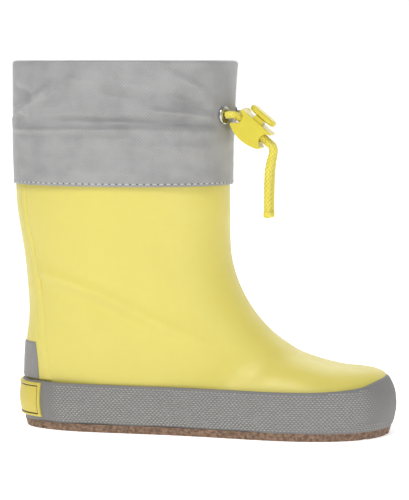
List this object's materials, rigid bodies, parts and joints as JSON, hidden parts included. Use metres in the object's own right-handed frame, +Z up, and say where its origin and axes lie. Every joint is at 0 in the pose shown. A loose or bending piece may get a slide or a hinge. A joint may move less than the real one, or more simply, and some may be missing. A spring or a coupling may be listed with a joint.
{
  "type": "rubber deck boot",
  "caption": "Child's rubber deck boot for the right foot, with a woven drawcord cuff, a sprung cord lock, a textured foxing band and a siped sole.",
  "frame": {"origin": "on the ground under the middle of the boot's box, measured without the cord's free strands and what is on them", "axes": "+X towards the toe, +Z up the shaft, -Y the outer side of this right boot"},
  "size_m": [0.1955, 0.0774, 0.184],
  "materials": {
    "gum_rubber": "matte crepe gum rubber",
    "grey_rubber": "matte textured rubber",
    "yellow_rubber": "satin moulded rubber",
    "yellow_trim": "satin moulded rubber trim",
    "reflective_grey": "retroreflective tape",
    "nylon_grey": "woven nylon, creased",
    "lining_textile": "knitted polyester",
    "fibre_board": "pressed fibre board",
    "filler_foam": "foam rubber",
    "footbed_foam": "soft foam",
    "eyelet_metal": "nickel plated",
    "cord_yellow": "braided polyester",
    "cord_tip_melt": "melted cord end",
    "lock_plastic": "moulded plastic",
    "spring_steel": "spring wire"
  },
  "bodies": {
    "boot": {"outsole": "gum_rubber", "midsole_filler": "filler_foam", "foxing_band": "grey_rubber", "backstay": "yellow_trim", "upper_shell": "yellow_rubber", "toe_puff": "fibre_board", "heel_counter": "fibre_board", "insole_board": "fibre_board", "lining": "lining_textile", "footbed": "footbed_foam", "footbed_cover": "lining_textile", "heel_strip": "reflective_grey", "heel_label": "yellow_trim", "cuff_outer": "nylon_grey", "cuff_inner": "lining_textile", "eyelet_outer_side": "eyelet_metal", "eyelet_inner_side": "eyelet_metal", "eyelet_washer_outer_side": "eyelet_metal", "eyelet_washer_inner_side": "eyelet_metal", "drawcord_loop": "cord_yellow"},
    "leads": {"cord_lead_outer_side": "cord_yellow", "cord_lead_inner_side": "cord_yellow"},
    "lock": {"lock_body": "lock_plastic", "lock_spring": "spring_steel"},
    "button": {"lock_plunger": "lock_plastic"},
    "tails": {"cord_tail_outer_side": "cord_yellow", "cord_tail_inner_side": "cord_yellow", "cord_tip_outer_side": "cord_tip_melt", "cord_tip_inner_side": "cord_tip_melt"}
  },
  "joints": [
    {"name": "cord_swing", "type": "hinge", "parent": "boot", "child": "leads", "pos_m": [0.01514, 0, 0.157], "axis": [0, 1, 0], "range_deg": [-30, 0]},
    {"name": "lock_slide", "type": "slide", "parent": "leads", "child": "lock", "axis": [0.7615, 0, -0.6481], "range_m": [0, 0.0035]},
    {"name": "button_press", "type": "slide", "parent": "lock", "child": "button", "axis": [-0.6481, 0, -0.7615], "range_m": [0, 0.002], "stiffness_N_per_m": 400, "springref_m": -0.002, "deforming": ["lock_spring"]},
    {"name": "tail_swing", "type": "hinge", "parent": "leads", "child": "tails", "pos_m": [0.03578, -0.009, 0.14327], "axis": [0, 1, 0], "range_deg": [-25, 15]}
  ]
}
